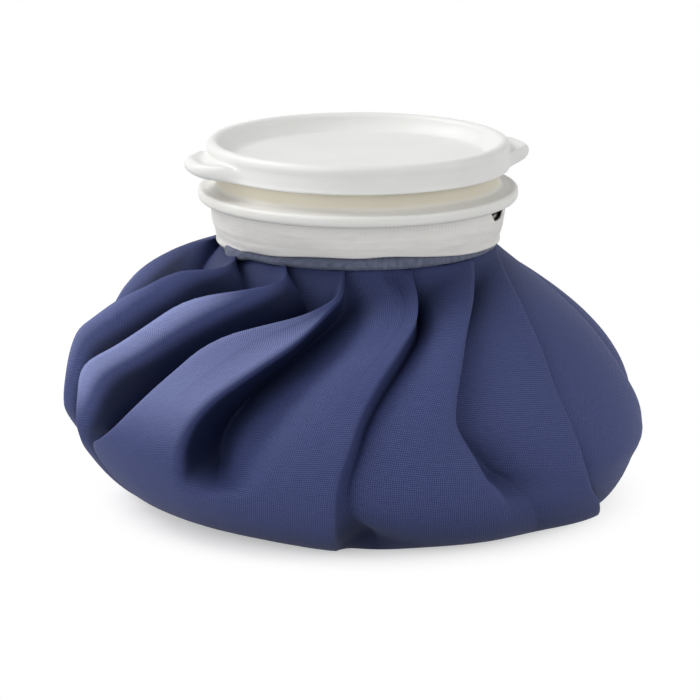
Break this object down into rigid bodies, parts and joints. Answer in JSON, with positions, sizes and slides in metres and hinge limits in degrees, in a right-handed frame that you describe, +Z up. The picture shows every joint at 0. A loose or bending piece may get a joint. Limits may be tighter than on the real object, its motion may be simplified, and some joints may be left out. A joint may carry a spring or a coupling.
{
  "type": "ice bag",
  "caption": "Soft blue cloth ice bag, gathered into pleats under a white plastic collar, with a dished white lid that turns on finger lugs and lifts off.",
  "frame": {"origin": "centre of the flat base, under the axis of the neck", "axes": "+Z up along the neck, +X towards the right finger lug, -Y towards the viewer of the picture"},
  "size_m": [0.1401, 0.1367, 0.0869],
  "materials": {
    "lid_plastic": "smooth off-white moulding",
    "seal_rubber": "matte pale rubber",
    "collar_plastic": "smooth warm white moulding",
    "binding_cotton": "twisted cotton",
    "tape_cotton": "white woven tape",
    "strip_cloth": "pale blue woven strip",
    "blue_cloth": "blue twill with a slight sheen",
    "liner_film": "thin white film"
  },
  "bodies": {
    "bag": {"neck_collar": "collar_plastic", "binding_cord": "binding_cotton", "binding_tape": "tape_cotton", "blue_strip": "strip_cloth", "bag_cloth": "blue_cloth", "bag_liner": "liner_film"},
    "seal": {"lid_seal": "seal_rubber"},
    "lid": {"lid_shell": "lid_plastic"}
  },
  "joints": [
    {"name": "lid_lift", "type": "slide", "parent": "bag", "child": "seal", "axis": [0, 0, 1], "range_m": [0, 0.06]},
    {"name": "lid_turn", "type": "hinge", "parent": "seal", "child": "lid", "pos_m": [0, 0, 0.0835], "axis": [0, 0, 1], "range_deg": [-60, 0]}
  ]
}
